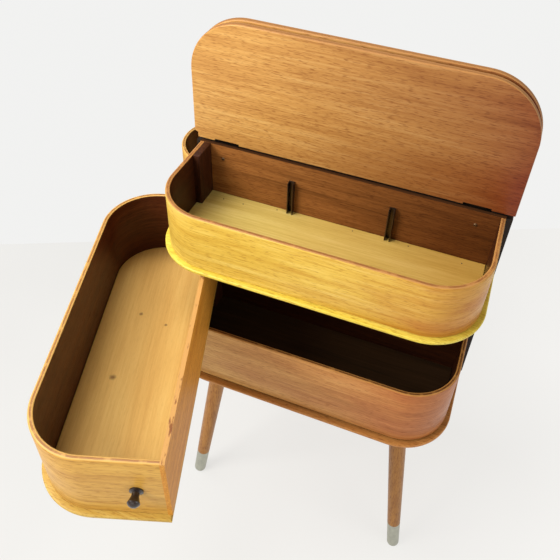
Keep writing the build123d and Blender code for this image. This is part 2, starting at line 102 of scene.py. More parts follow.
class Recipe:
    """A material's node tree, with one short call for each kind of node."""

    def __init__(self, name):
        self.material = bpy.data.materials.new(name)
        self.material.use_nodes = True
        self.tree = self.material.node_tree
        self.tree.nodes.clear()
        self.surface = self.add("ShaderNodeBsdfPrincipled")
        output = self.add("ShaderNodeOutputMaterial")
        self.tree.links.new(self.surface.outputs[0], output.inputs[0])

    def add(self, kind):
        return self.tree.nodes.new(kind)

    def feed(self, socket, value):
        """Links a socket, or sets a plain number or colour."""
        if isinstance(value, bpy.types.NodeSocket):
            self.tree.links.new(value, socket)
        elif isinstance(value, (tuple, list)) and len(value) == 3 and socket.type == "RGBA":
            socket.default_value = (*value, 1.0)
        else:
            socket.default_value = value

    def place(self):
        """Object coordinates."""
        return self.add("ShaderNodeTexCoord").outputs["Object"]

    def normal(self):
        """Object-space normal."""
        return self.add("ShaderNodeTexCoord").outputs["Normal"]

    def measure(self, name):
        """A number that the mesh carries at each point."""
        node = self.add("ShaderNodeAttribute")
        node.attribute_name = name
        return node.outputs["Fac"]

    def join(self, x, y, z):
        node = self.add("ShaderNodeCombineXYZ")
        for socket, value in zip(node.inputs, (x, y, z)):
            self.feed(socket, value)
        return node.outputs[0]

    def mapping(self, vector, location=(0, 0, 0), scale=(1, 1, 1)):
        node = self.add("ShaderNodeMapping")
        self.feed(node.inputs["Vector"], vector)
        node.inputs["Location"].default_value = location
        node.inputs["Scale"].default_value = scale
        return node.outputs[0]

    def noise(self, vector, scale=1.0, detail=4.0, roughness=0.55, distortion=0.0):
        node = self.add("ShaderNodeTexNoise")
        self.feed(node.inputs["Vector"], vector)
        node.inputs["Scale"].default_value = scale
        node.inputs["Detail"].default_value = detail
        node.inputs["Roughness"].default_value = roughness
        node.inputs["Distortion"].default_value = distortion
        return node.outputs["Fac"]

    def math(self, operation, a, b=0.0, c=0.0, clamp=False):
        node = self.add("ShaderNodeMath")
        node.operation = operation
        node.use_clamp = clamp
        for socket, value in zip(node.inputs, (a, b, c)):
            self.feed(socket, value)
        return node.outputs[0]

    def axis(self, vector, index):
        node = self.add("ShaderNodeSeparateXYZ")
        self.feed(node.inputs[0], vector)
        return node.outputs[index]

    def facing(self, direction):
        """How squarely the surface faces a direction, from -1 to 1."""
        node = self.add("ShaderNodeVectorMath")
        node.operation = "DOT_PRODUCT"
        self.feed(node.inputs[0], self.normal())
        node.inputs[1].default_value = direction
        return node.outputs["Value"]

    def turned(self, vector, degrees):
        """Coordinates turned about the upright axis, so that X runs along a swung drawer."""
        node = self.add("ShaderNodeVectorRotate")
        node.rotation_type = "Z_AXIS"
        self.feed(node.inputs["Vector"], vector)
        node.inputs["Angle"].default_value = radians(degrees)
        return node.outputs[0]

    def distance(self, point):
        """Distance from a point, in metres."""
        node = self.add("ShaderNodeVectorMath")
        node.operation = "DISTANCE"
        self.feed(node.inputs[0], self.place())
        node.inputs[1].default_value = point
        return node.outputs["Value"]

    def range(self, value, low, high, to_low=0.0, to_high=1.0):
        node = self.add("ShaderNodeMapRange")
        node.clamp = True
        ends = (("From Min", low), ("From Max", high), ("To Min", to_low), ("To Max", to_high))
        for key, number in ends:
            node.inputs[key].default_value = number
        self.feed(node.inputs["Value"], value)
        return node.outputs["Result"]

    def ramp(self, value, *stops):
        """Colour ramp; each stop is (position, (r, g, b))."""
        node = self.add("ShaderNodeValToRGB")
        element = node.color_ramp.elements
        while len(element) < len(stops):
            element.new(0.5)
        for item, (position, colour) in zip(element, stops):
            item.position = position
            item.color = (*colour, 1.0)
        self.feed(node.inputs[0], value)
        return node.outputs[0]

    def mix(self, factor, a, b, how="MIX"):
        node = self.add("ShaderNodeMix")
        node.data_type = "RGBA"
        node.blend_type = how
        self.feed(node.inputs[0], factor)
        self.feed(node.inputs[6], a)
        self.feed(node.inputs[7], b)
        return node.outputs[2]

    def bump(self, height, strength, distance=0.0002):
        node = self.add("ShaderNodeBump")
        node.inputs["Strength"].default_value = strength
        node.inputs["Distance"].default_value = distance
        self.feed(node.inputs["Height"], height)
        self.feed(self.surface.inputs["Normal"], node.outputs[0])

    def finish(self, colour, roughness, metallic=0.0, coat=0.0, coat_roughness=0.2):
        """Sets the surface and returns the material; only metal gets the full gloss."""
        self.feed(self.surface.inputs["Base Color"], colour)
        self.feed(self.surface.inputs["Roughness"], roughness)
        self.surface.inputs["Metallic"].default_value = metallic
        self.surface.inputs["Coat Weight"].default_value = coat
        self.surface.inputs["Coat Roughness"].default_value = coat_roughness
        gloss = METAL_GLOSS if metallic else WOOD_GLOSS
        self.surface.inputs["Specular IOR Level"].default_value = gloss
        return self.material


print("shader helpers ready")

# %% [markdown]
# ## Veneer
# Wood grain is noise that is drawn out a long way in one direction.  Three scales of it are
# laid over each other: slow bands of colour, fine streaks, and short dark pores.  The grain
# is given in cycles per metre, along and across, so it has its real size on every piece.

# %% The grain of a veneer
BANDS, STREAKS, PORES = (3.5, 60.0), (13.0, 420.0), (105.0, 950.0)   # cycles per metre
BAND_SHARE, STREAK_SHARE = 0.48, 0.52            # of the wood's tone
PORE_BEGINS, PORE_FULL = 0.55, 0.68              # where the finest noise turns into a pore
PORE_SHADE = (0.6, 0.42, 0.3)                    # a pore against the darkest streak
TONE_STOPS = (0.34, 0.5, 0.66)                   # where the dark, middle and light tones lie
APART = (1.0, 0.73, 1.31)                        # takes each seed to its own part of the noise


def drawn_out(direction, pair):
    """Scale of a noise that runs along the axes named in `direction`, such as "X" or "XY"."""
    along, across = pair
    return tuple(along if axis in direction else across for axis in "XYZ")


def grain(recipe, vector, direction, seed):
    """Returns the tone of the wood, its streaks and its pores, each from 0 to 1."""
    moved = recipe.mapping(vector, location=tuple(seed * part for part in APART))
    bands = recipe.noise(recipe.mapping(moved, scale=drawn_out(direction, BANDS)), 1.0, 3.0,
                         0.55, 0.8)
    streaks = recipe.noise(recipe.mapping(moved, scale=drawn_out(direction, STREAKS)), 1.0,
                           4.0, 0.6, 0.3)
    dots = recipe.noise(recipe.mapping(moved, scale=drawn_out(direction, PORES)), 1.0, 1.0)
    tone = recipe.math("ADD", recipe.math("MULTIPLY", bands, BAND_SHARE),
                       recipe.math("MULTIPLY", streaks, STREAK_SHARE))
    return tone, streaks, recipe.range(dots, PORE_BEGINS, PORE_FULL)


def veneered(recipe, vector, direction, tones, seed, pores=0.6):
    """Colour of a veneer from three tones, and the height that its pores and streaks make."""
    tone, streaks, pore = grain(recipe, vector, direction, seed)
    colour = recipe.ramp(tone, *zip(TONE_STOPS, tones))
    colour = recipe.mix(recipe.math("MULTIPLY", pore, pores), colour,
                        tuple(c * k for c, k in zip(tones[0], PORE_SHADE)))
    return colour, recipe.math("SUBTRACT", streaks, pore)


def polished(recipe, relief, dull, bright):
    """Roughness of lacquered wood, dull in the pores and brighter on the streaks."""
    return recipe.range(relief, -0.5, 0.8, dull, bright)


def solid_wood(name, direction, tones, seed, roughness=0.4, coat=0.1, pores=0.6):
    """A lacquered piece of wood whose grain runs along one of its axes."""
    recipe = Recipe(name)
    colour, relief = veneered(recipe, recipe.place(), direction, tones, seed, pores)
    recipe.bump(relief, 0.25)
    rough = polished(recipe, relief, roughness + 0.1, roughness - 0.06)
    return recipe.finish(colour, rough, 0.0, coat, 0.3)


print("bands, streaks and pores per metre", BANDS, STREAKS, PORES)

# %% [markdown]
# ## Tones of the wood
# The same walnut-coloured ply has been lacquered and has aged differently on every piece: the
# top trays are the yellowest, the bottom trays the brownest, and the insides are stained dark,
# with painted shade making them darker still.  The bottom trays' linings are near black as
# painted shadow.
# Each tone is a set of three, for the dark, middle and light streaks, as linear colour.

# %% Tones
TONES = {
    "top_outside": ((0.56, 0.30, 0.032), (0.71, 0.46, 0.070), (0.80, 0.58, 0.14)),
    "drawer_outside": ((0.47, 0.22, 0.035), (0.63, 0.34, 0.060), (0.75, 0.45, 0.10)),
    "bottom_outside": ((0.43, 0.20, 0.048), (0.59, 0.30, 0.082), (0.70, 0.41, 0.13)),
    # the insides: a dark stain, darkened further as painted shade, here and for the drawers
    "inside": ((0.022, 0.006, 0.002), (0.042, 0.011, 0.0035), (0.075, 0.021, 0.006)),
    "drawer_inside": ((0.045, 0.009, 0.0028), (0.078, 0.018, 0.0055), (0.12, 0.033, 0.010)),
    "back_inside": ((0.19, 0.068, 0.015), (0.32, 0.12, 0.028), (0.43, 0.18, 0.048)),
    "back_outside": ((0.52, 0.20, 0.020), (0.66, 0.28, 0.034), (0.76, 0.36, 0.055)),
    "lid": ((0.47, 0.19, 0.042), (0.64, 0.30, 0.075), (0.77, 0.42, 0.13)),
    "top_lip": ((0.62, 0.42, 0.045), (0.72, 0.55, 0.065), (0.78, 0.62, 0.11)),
    "drawer_lip": ((0.44, 0.25, 0.045), (0.54, 0.34, 0.068), (0.61, 0.42, 0.11)),
    "base_lip": ((0.37, 0.14, 0.030), (0.49, 0.205, 0.050), (0.58, 0.27, 0.075)),
    "top_lining": ((0.60, 0.43, 0.10), (0.69, 0.52, 0.14), (0.76, 0.60, 0.20)),
    "drawer_lining": ((0.77, 0.42, 0.108), (0.84, 0.49, 0.132), (0.89, 0.55, 0.16)),
    # painted shadow: the bottom trays' linings get a near-black tone
    "bottom_lining": ((0.02, 0.010, 0.004), (0.035, 0.016, 0.006), (0.05, 0.024, 0.010)),
    "leg": ((0.24, 0.088, 0.014), (0.34, 0.14, 0.022), (0.42, 0.185, 0.033)),
    "spine": ((0.010, 0.006, 0.004), (0.017, 0.011, 0.008), (0.026, 0.017, 0.012)),
    # painted shadow: the recessed plinth under a bottom tray is near black
    "plinth": ((0.01, 0.007, 0.005), (0.02, 0.012, 0.008), (0.03, 0.02, 0.012)),
    "knob": ((0.012, 0.006, 0.004), (0.02, 0.01, 0.007), (0.035, 0.016, 0.01)),
}
LIGHT_PLY, DARK_PLY = (0.43, 0.20, 0.052), (0.13, 0.046, 0.013)     # seen on a bare edge
print("tones for", len(TONES), "finishes")

# %% [markdown]
# ## Helpers for geometry trees
# A Geometry Nodes tree is built like a shader tree: nodes are added and linked by a script.
# Its sizes are named inputs of the group, so the same tree makes every wall.  At the end the
# result is turned into a plain mesh, because the finished model can't carry a live modifier.

# %% Geometry tree helpers
class Grower:
    """A Geometry Nodes group with named inputs."""

    def __init__(self, name, inputs):
        self.group = bpy.data.node_groups.new(name, "GeometryNodeTree")
        face = self.group.interface
        face.new_socket("Geometry", in_out="INPUT", socket_type="NodeSocketGeometry")
        for label, kind in inputs:
            face.new_socket(label, in_out="INPUT", socket_type="NodeSocket" + kind)
        face.new_socket("Geometry", in_out="OUTPUT", socket_type="NodeSocketGeometry")
        self.inputs = self.add("NodeGroupInput").outputs
        self.outputs = self.add("NodeGroupOutput").inputs

    def add(self, kind, **settings):
        node = self.group.nodes.new(kind)
        for key, value in settings.items():
            setattr(node, key, value)
        return node

    def feed(self, node, **values):
        """Feeds a node's inputs by their names, with _ for a space; returns its first output."""
        for key, value in values.items():
            socket = node.inputs[key.replace("_", " ")]
            if isinstance(value, bpy.types.NodeSocket):
                self.group.links.new(value, socket)
            else:
                socket.default_value = value
        return node.outputs[0]

    def times(self, value, factor):
        node = self.add("ShaderNodeMath", operation="MULTIPLY")
        self.group.links.new(value, node.inputs[0])
        node.inputs[1].default_value = factor
        return node.outputs[0]

    def carry(self, geometry, name, value):
        """Stores a number on every point under a name that a material can read."""
        node = self.add("GeometryNodeStoreNamedAttribute", data_type="FLOAT", domain="POINT")
        return self.feed(node, Geometry=geometry, Name=name, Value=value)

    def end(self, geometry, material):
        whole = self.feed(self.add("GeometryNodeRealizeInstances"), Geometry=geometry)
        named = self.feed(self.add("GeometryNodeSetMaterial"), Geometry=whole, Material=material)
        self.group.links.new(named, self.outputs[0])


print("geometry tree helpers ready")

# %% [markdown]
# ## From a mesh to a piece
# Every shape made here ends the same way: its faces are turned outwards, gentle bends are
# smoothed while sharp edges stay sharp, and it is linked as a piece that rides on one of the
# box's bodies.  The tree's inputs are set by their identifiers before the tree runs.

# %% Mesh helpers
CREASE = radians(38.0)           # what bends more than this stays a sharp edge
DOUBLES = 1e-6                   # points closer than this are one


def smoothed(mesh):
    for face in mesh.polygons:
        face.use_smooth = True
    mesh.set_sharp_from_angle(angle=CREASE)
    return mesh


def outward(mesh):
    """Merges doubles, turns all faces outwards and smooths the mesh."""
    made = bmesh.new()
    made.from_mesh(mesh)
    bmesh.ops.remove_doubles(made, verts=made.verts, dist=DOUBLES)
    bmesh.ops.recalc_face_normals(made, faces=made.faces)
    made.to_mesh(mesh)
    made.free()
    return smoothed(mesh)


def as_piece(name, mesh, body, slot, *replaced):
    """Links a finished mesh as a piece that rides on a body."""
    piece = bpy.data.objects.new(name, mesh)
    bpy.context.scene.collection.objects.link(piece)
    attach(piece, body)
    if replaced:
        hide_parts(*replaced)
    return piece


def grown(name, seedling, grower, values):
    """Runs a tree on a small mesh and returns the plain mesh that comes out."""
    helper = bpy.data.objects.new(name + "_seed", seedling)
    bpy.context.scene.collection.objects.link(helper)
    modifier = helper.modifiers.new("grow", "NODES")
    modifier.node_group = grower.group
    for item in grower.group.interface.items_tree:
        if item.in_out == "INPUT" and item.name in values:
            modifier[item.identifier] = values[item.name]
    bpy.context.view_layer.update()
    sight = helper.evaluated_get(bpy.context.evaluated_depsgraph_get())
    mesh = bpy.data.meshes.new_from_object(sight)
    mesh.name = name
    helper.modifiers.remove(modifier)
    bpy.data.objects.remove(helper)
    return outward(mesh)


print("mesh helpers ready, crease", round(CREASE, 3))

# %% [markdown]
# ## Where things stand
# The drawers are drawn in the closed box and then swung about their rods, and the lids are
# drawn closed and then raised about their hinges.  The rear half is the front half mirrored,
# so one set of sizes serves both.  All sizes are in metres.

# %% Places and turns
SWING = {"front": -72.0, "rear": 68.5}          # degrees that each drawer stands open
HALVES = ("front", "rear")
PIVOT = Vector((-0.190, -0.033, 0.0))
HINGE = Vector((0.0, -0.0052, 0.6468))
TRAY_HALF = 0.200                                # half the tray's length
WALL = 0.006                                     # thickness of a bent wall
CORNER = 0.066                                   # outer radius of the bent corners
TRAY_FRONT = -0.160                              # front of a tray's wall
BACK_FACE = -0.016                               # inside of a tray's back board
TOP_FLOOR, TOP_RIM = 0.560, 0.640                # underside and rim of a top tray's wall
LINING_TOP = 0.5622                              # where things stand on its lining


def mirrored(half):
    return Matrix.Scale(-1.0, 4, (0, 1, 0)) if half == "rear" else Matrix.Identity(4)


def swung(half):
    """From the closed front half to a drawer as it stands open."""
    side = Vector((PIVOT.x, PIVOT.y if half == "front" else -PIVOT.y, 0.0))
    turn = Matrix.Rotation(radians(SWING[half]), 4, "Z")
    return Matrix.Translation(side) @ turn @ Matrix.Translation(-side) @ mirrored(half)


def raised(half):
    """From the closed front half to a lid as it stands open."""
    lift = Matrix.Translation(HINGE) @ Matrix.Rotation(radians(-90), 4, "X")
    return mirrored(half) @ lift @ Matrix.Translation(-HINGE)


print("front drawer's pivot", tuple(PIVOT), "lid hinge", tuple(HINGE))

# %% [markdown]
# ## The bent walls
# A tray's wall is one long strip of three-ply, bent round the ends of the tray.  It follows a
# rule exactly: a profile that runs along a path.  So a Geometry Nodes tree makes it.  The path
# comes in as three edges, Fillet Curve bends its two corners, and Curve to Mesh carries the
# strip's profile, with its rims eased, along it.  The tree also stores how far along, how high
# and how deep in the ply each point lies, because the grain has to follow the bend.

# %% Tree for a bent wall
def wall_tree():
    tree = Grower("bent_wall", (("Thickness", "Float"), ("Height", "Float"),
                                ("Corner Radius", "Float"), ("Rim Round", "Float"),
                                ("Bend Steps", "Int"), ("Ply", "Material")))
    put = tree.inputs
    path = tree.feed(tree.add("GeometryNodeMeshToCurve"), Mesh=put["Geometry"])
    bend = tree.add("GeometryNodeFilletCurve", mode="POLY")
    path = tree.feed(bend, Curve=path, Count=put["Bend Steps"], Radius=put["Corner Radius"])
    run = tree.add("GeometryNodeSplineParameter").outputs["Length"]
    path = tree.carry(path, "run", run)
    strip = tree.feed(tree.add("GeometryNodeCurvePrimitiveQuadrilateral"),
                      Width=put["Thickness"], Height=put["Height"])
    ease = tree.add("GeometryNodeFilletCurve", mode="POLY")
    strip = tree.feed(ease, Curve=strip, Count=4, Radius=put["Rim Round"])
    spot = tree.add("ShaderNodeSeparateXYZ")
    tree.feed(spot, Vector=tree.add("GeometryNodeInputPosition").outputs[0])
    strip = tree.carry(strip, "depth", spot.outputs["X"])
    strip = tree.carry(strip, "rise", spot.outputs["Y"])
    swept = tree.add("GeometryNodeCurveToMesh")
    wall = tree.feed(swept, Curve=path, Profile_Curve=strip, Fill_Caps=True)
    tree.end(wall, put["Ply"])
    return tree


bent_wall = wall_tree()
print("wall inputs", [item.name for item in bent_wall.group.interface.items_tree])

# %% [markdown]
# ## The finish of a bent wall
# Outside, the lacquered face veneer; inside, a dark stain, darkened further as painted shade;
# and round the rim the three plies show as light, dark and light lines.  The mesh carries
# `depth` through the ply in metres, so the material knows where it is.  Handling has worn the
# rim paler in places, and painted shade makes the outside darker and redder towards the right,
# away from the window light.

# %% A bent wall's material
RIGHT_SHADE = (0.68, 0.43, 0.36)        # painted shade: what is taken from the colour at the right end
CORE_HALF = 0.0011               # half the thickness of the middle ply
CORE_WAVER = 0.0002              # how far the glue line wanders
RIM_LOOKS_UP = 0.62              # a face that looks up more than this is part of the rim
WORN = 1.15                      # worn ply against sound ply


def bent_ply(name, outside, inside, seed, pores=0.45, roughness=0.38, coat=0.07,
             plies=(LIGHT_PLY, DARK_PLY), shading=(0.0, 0.21)):
    """Finish of a wall; painted shade darkens it towards the right, between the two places along X
    that the last argument names.
    """
    recipe = Recipe(name)
    depth, rise, run = (recipe.measure(word) for word in ("depth", "rise", "run"))
    vector = recipe.join(run, 0.0, rise)
    outer, relief = veneered(recipe, vector, "X", TONES[outside], seed, pores)
    cloud = recipe.noise(recipe.mapping(vector, scale=(7.0, 1.0, 22.0)), 1.0, 3.0)
    # painted shade: the outside turns darker and redder towards the right, away from the window
    # light
    slope = recipe.math("ADD", recipe.axis(recipe.place(), 0),
                        recipe.range(cloud, 0.3, 0.7, -0.07, 0.07))
    shaded = recipe.mix(1.0, outer, RIGHT_SHADE, "MULTIPLY")
    outer = recipe.mix(recipe.range(slope, *shading), outer, shaded)
    inner, _ = veneered(recipe, vector, "X", TONES[inside], seed + 3.7)
    colour = recipe.mix(recipe.range(depth, -0.0005, 0.0005), inner, outer)
    waver = recipe.noise(recipe.mapping(vector, scale=(60.0, 1.0, 60.0)), 1.0, 3.0)
    wavy = recipe.math("ADD", depth, recipe.range(waver, 0.3, 0.7, -CORE_WAVER, CORE_WAVER))
    core = recipe.math("LESS_THAN", recipe.math("ABSOLUTE", wavy), CORE_HALF)
    light_ply, dark_ply = plies
    bands = recipe.mix(core, light_ply, dark_ply)
    edge = recipe.math("GREATER_THAN", recipe.axis(recipe.normal(), 2), RIM_LOOKS_UP)
    worn = recipe.range(waver, 0.52, 0.62, 0.0, 0.5)
    bands = recipe.mix(worn, bands, tuple(c * WORN for c in light_ply))
    colour = recipe.mix(edge, colour, bands)
    recipe.bump(relief, 0.25)
    rough = polished(recipe, relief, roughness + 0.1, roughness - 0.06)
    return recipe.finish(colour, rough, 0.0, coat, 0.3)


WALLS = {      # underside, height, end towards the spine, finish
    "top_tray": (TOP_FLOOR, 0.080, BACK_FACE,
                 bent_ply("top_tray_ply", "top_outside", "inside", 3.1,
                          plies=((0.44, 0.21, 0.06), (0.27, 0.11, 0.032)))),
    "drawer": (0.4535, 0.100, -0.0166,
               bent_ply("drawer_ply", "drawer_outside", "drawer_inside", 6.4,
                        plies=((0.62, 0.36, 0.10), (0.34, 0.15, 0.04)))),
    "bottom_tray": (0.346, 0.101, BACK_FACE,
                    bent_ply("bottom_tray_ply", "bottom_outside", "inside", 9.2,
                             shading=(-0.12, 0.16))),
}
print("wall finishes", [value[3].name for value in WALLS.values()])

# %% [markdown]
# ## Six walls from one tree
# Both halves have a top tray, a drawer and a bottom tray, which differ only in height and
# level.  Each wall's path is drawn in the closed front half and brought to its place, so a
# drawer's grain turns with it.

# %% Bend the six walls
RIM_ROUND, BEND_STEPS = 0.0018, 20


def wall_path(back, level, place):
    """Three edges along the middle of the ply."""
    x, y = TRAY_HALF - WALL / 2, TRAY_FRONT + WALL / 2
    corners = [place @ Vector(p) for p in ((-x, back, level), (-x, y, level), (x, y, level),
                                           (x, back, level))]
    mesh = bpy.data.meshes.new("wall_path")
    mesh.from_pydata(corners, [(0, 1), (1, 2), (2, 3)], [])
    return mesh


def depth_outwards(mesh, place):
    """Makes `depth` grow towards the outside, whichever way the path was walked."""
    inverse = place.inverted()
    depth = mesh.attributes["depth"].data
    front = min(range(len(mesh.vertices)), key=lambda i: (inverse @ mesh.vertices[i].co).y)
    if depth[front].value < 0:
        for item in depth:
            item.value = -item.value


def make_wall(half, kind):
    low, height, back, ply = WALLS[kind]
    place = swung(half) if kind == "drawer" else mirrored(half)
    name = f"{half}_{kind}_wall"
    mesh = grown(name + "_ply", wall_path(back, low + height / 2, place), bent_wall, {
        "Thickness": WALL, "Height": height, "Corner Radius": CORNER - WALL / 2,
        "Rim Round": RIM_ROUND, "Bend Steps": BEND_STEPS, "Ply": ply})
    depth_outwards(mesh, place)
    body = f"{half}_drawer" if kind == "drawer" else "carcass"
    return as_piece(name + "_ply", mesh, body, "tray_wood", name)


walls = [make_wall(half, kind) for half in HALVES for kind in WALLS]

# %% [markdown]
# ## The lids
# A lid is a half-stadium board with eased edges.  Its outline is walked once, with the way
# inwards noted at each corner, and rings of it are stacked with a small inset at the top and
# bottom.  That gives a clean rounded edge without a boolean.  The back edge, by the hinges,
# has a shallow notch for each leaf and stays square.

# %% Outline of a lid
LID_HALF, LID_CORNER, LID_FRONT, LID_BACK = 0.2095, 0.070, -0.1685, -0.0013
LID_LOW, LID_THICK, LID_EASE = 0.6403, 0.009, 0.0015
HINGE_X, HINGE_HALF, NOTCH = 0.164, 0.0172, 0.0025      # the notch that a hinge lies in
LID_CORNER_STEPS = 24
CHIP = ((0.0045, 0.0), (0.0041, 0.0072), (0.0, 0.0090))  # broken off the front lid's corner


def lid_outline(chipped):
    """Corners as (x, y, inset in x, inset in y), walked against the clock."""
    walk = []
    for side in (-1, 1):
        centre = Vector((side * (LID_HALF - LID_CORNER), LID_FRONT + LID_CORNER))
        first, last = (180, 270) if side < 0 else (270, 360)
        for step in range(LID_CORNER_STEPS + 1):
            turn = radians(first + (last - first) * step / LID_CORNER_STEPS)
            way = Vector((cos(turn), sin(turn)))
            walk.append((*(centre + LID_CORNER * way), -way.x, -way.y))
    walk.append((LID_HALF, LID_BACK, -1.0, 0.0))
    for x in (HINGE_X, -HINGE_X):
        for dx, dy in ((1, 0), (1, -1), (-1, -1), (-1, 0)):
            walk.append((x + dx * HINGE_HALF, LID_BACK + dy * NOTCH, 0.0, 0.0))
    if not chipped:
        return walk + [(-LID_HALF, LID_BACK, 1.0, 0.0)]
    return walk + [(-LID_HALF + dx, LID_BACK - dy, 0.0, 0.0) for dx, dy in CHIP]


print("lid outline", len(lid_outline(True)), "corners")

# %% [markdown]
# ## Rings of a lid
# The rings are joined into side walls and closed above and below.  Each point also keeps its
# height in the board as `ply`, which the finish of the edge needs.

# %% Stack the rings
EASE_ANGLES = (0, 22.5, 45, 67.5, 90)            # degrees round the eased edge


def lid_mesh(name, place, chipped):
    """The lid's rings, closed with caps; `ply` runs from 0 underneath to 1 on top."""
    made = bmesh.new()
    ply = made.verts.layers.float.new("ply")
    walk = lid_outline(chipped)
    rings = []
    eased = [(LID_EASE * (1 - cos(radians(t))), LID_EASE * (1 - sin(radians(t))))
             for t in EASE_ANGLES]
    levels = eased + [(LID_THICK - up, inset) for up, inset in reversed(eased)]
    for up, inset in levels:
        ring = []
        for x, y, ix, iy in walk:
            vert = made.verts.new(place @ Vector((x + ix * inset, y + iy * inset, LID_LOW + up)))
            vert[ply] = up / LID_THICK
            ring.append(vert)
        rings.append(ring)
    for low, high in zip(rings, rings[1:]):
        for i in range(len(walk)):
            made.faces.new((low[i - 1], low[i], high[i], high[i - 1]))
    made.faces.new(rings[0])
    made.faces.new(rings[-1])
    bmesh.ops.recalc_face_normals(made, faces=made.faces)
    mesh = bpy.data.meshes.new(name)
    made.to_mesh(mesh)
    made.free()
    return smoothed(mesh)


print("levels of a lid", 2 * len(EASE_ANGLES))

# %% [markdown]
# ## The finish of a lid
# The lids are the showpiece: a straight-grained, reddish veneer whose streaks run along the
# box.  Painted light and shade make it palest towards the left, where the window light falls,
# and darker and redder to the right.  On the edge the middle ply shows as a slightly darker line.

# %% A lid's material
PAINTED_LIGHT_END, PAINTED_SHADE_END = (0.92, 1.0, 1.05), (0.27, 0.10, 0.08)      # painted light at the left end, painted shade at the right end
SHADE_FROM, SHADE_TO = -0.12, 0.19                 # where the painted shade begins and where it is full, along the lid
EDGE_PLY, CORE_PLY = (0.44, 0.20, 0.06), (0.34, 0.145, 0.04)
CORE_SHARE, EDGE_SHARE = 0.16, 0.44              # half of the board's thickness, as a share


def lid_finish():
    recipe = Recipe("lid_veneer")
    place = recipe.place()
    face, relief = veneered(recipe, place, "X", TONES["lid"], 9.4, 0.6)
    broad = recipe.noise(recipe.mapping(place, scale=(2.0, 9.0, 9.0)), 1.0, 2.0)
    # painted light and shade: pale at the left, darker and redder to the right
    slope = recipe.math("ADD", recipe.axis(place, 0), recipe.range(broad, 0.3, 0.7, -0.05, 0.05))
    deep = recipe.mix(1.0, face, PAINTED_SHADE_END, "MULTIPLY")
    pale = recipe.mix(1.0, face, PAINTED_LIGHT_END, "MULTIPLY")
    face = recipe.mix(recipe.range(slope, SHADE_FROM, SHADE_TO), pale, deep)
    ply = recipe.measure("ply")
    middle = recipe.math("ABSOLUTE", recipe.math("SUBTRACT", ply, 0.5))
    core = recipe.math("LESS_THAN", middle, CORE_SHARE)
    edge = recipe.math("LESS_THAN", middle, EDGE_SHARE)
    recipe.bump(relief, 0.3)
    colour = recipe.mix(edge, face, recipe.mix(core, EDGE_PLY, CORE_PLY))
    return recipe.finish(colour, polished(recipe, relief, 0.46, 0.32), 0.0, 0.08, 0.4)


lid_veneer = lid_finish()
for half in HALVES:
    mesh = lid_mesh(f"{half}_lid_board", raised(half), half == "front")
    mesh.materials.append(lid_veneer)
    piece = as_piece(mesh.name, mesh, f"{half}_lid", "lid_wood", f"{half}_lid")
    print(piece.name, len(mesh.polygons), "faces")

# %% [markdown]
# ## Small solid pieces
# Blocks, hinge leaves and channels are folded sheet or sawn wood, so they are boxes with eased
# edges.  One helper makes such a box, another a round bar, and a third joins several of them
# into one mesh and brings them to their place.

# %% Boxes, bars and joining
BAR_SIDES = 28


def eased_box(made, low, high, ease):
    """Adds a box with eased edges to a bmesh."""
    size = [b - a for a, b in zip(low, high)]
    middle = [(a + b) / 2 for a, b in zip(low, high)]
    place = Matrix.Translation(middle) @ Matrix.Diagonal((*size, 1.0))
    verts = bmesh.ops.create_cube(made, size=1.0, matrix=place)["verts"]
    edges = {edge for vert in verts for edge in vert.link_edges}
    bmesh.ops.bevel(made, geom=list(edges), offset=ease, segments=2, profile=0.5,
                    affect="EDGES", clamp_overlap=True)


def level_bar(made, centre, radius, length):
    """Adds a round bar that lies along X."""
    place = Matrix.Translation(centre) @ Matrix.Rotation(radians(90), 4, "Y")
    bmesh.ops.create_cone(made, cap_ends=True, segments=BAR_SIDES, radius1=radius, radius2=radius,
                          depth=length, matrix=place)


def gathered(name, place, material, fill):
    """Runs `fill` on an empty bmesh and returns its mesh, brought to its place."""
    made = bmesh.new()
    fill(made)
    bmesh.ops.transform(made, matrix=place, verts=made.verts)
    bmesh.ops.recalc_face_normals(made, faces=made.faces)
    mesh = bpy.data.meshes.new(name)
    made.to_mesh(mesh)
    made.free()
    mesh.materials.append(material)
    return smoothed(mesh)


print("box, bar and joining helpers ready")

# %% [markdown]
# ## Metal
# Old bronze and brass are never one even colour: their skin is mottled.  One noise varies the
# tone, the roughness and a very shallow relief, so a small part still catches the light well.

# %% Metals
def metal(name, colour, roughness, metallic=1.0, mottling=0.05):
    recipe = Recipe(name)
    patches = recipe.noise(recipe.place(), 120.0, 4.0, 0.6)
    rough = recipe.range(patches, 0.3, 0.7, roughness - mottling, roughness + mottling)
    tone = recipe.ramp(patches, (0.35, tuple(c * 0.8 for c in colour)), (0.65, colour))
    recipe.bump(patches, 0.08, 0.0001)
    return recipe.finish(tone, rough, metallic)


bronze = metal("dark_bronze", (0.10, 0.07, 0.05), 0.32, 0.9)
aged_brass = metal("aged_brass", (0.17, 0.10, 0.05), 0.42, 0.9)
print("metals", bronze.name, aged_brass.name)

# %% [markdown]
# ## The hinges
# Each lid turns on two small bronze hinges.  One leaf lies in the notch of the lid and carries
# the outer knuckles; the other comes up from the spine between the lids and carries the middle
# one.  With the lid up, only a dark slot shows at its lower edge.

# %% Hinge leaves
KNUCKLE, LEAF = 0.0025, 0.001                    # knuckle's radius, leaf's thickness
THIRD = 0.034 / 3                                # each knuckle's share of the hinge
PLAY, LEAF_PLAY = 0.0002, 0.0004                 # at a knuckle's end, and round a leaf
LEAF_EASE = 0.0002
LID_LEAF, SPINE_LEAF = 0.0168, 0.0164            # half the length of each leaf
SPINE_TOP, SPINE_FOOT = 0.637, 0.009             # level and depth of the leaf on the spine
SPINE_LEAF_BACK = -0.0001
KNUCKLE_HALF = THIRD / 2 - PLAY


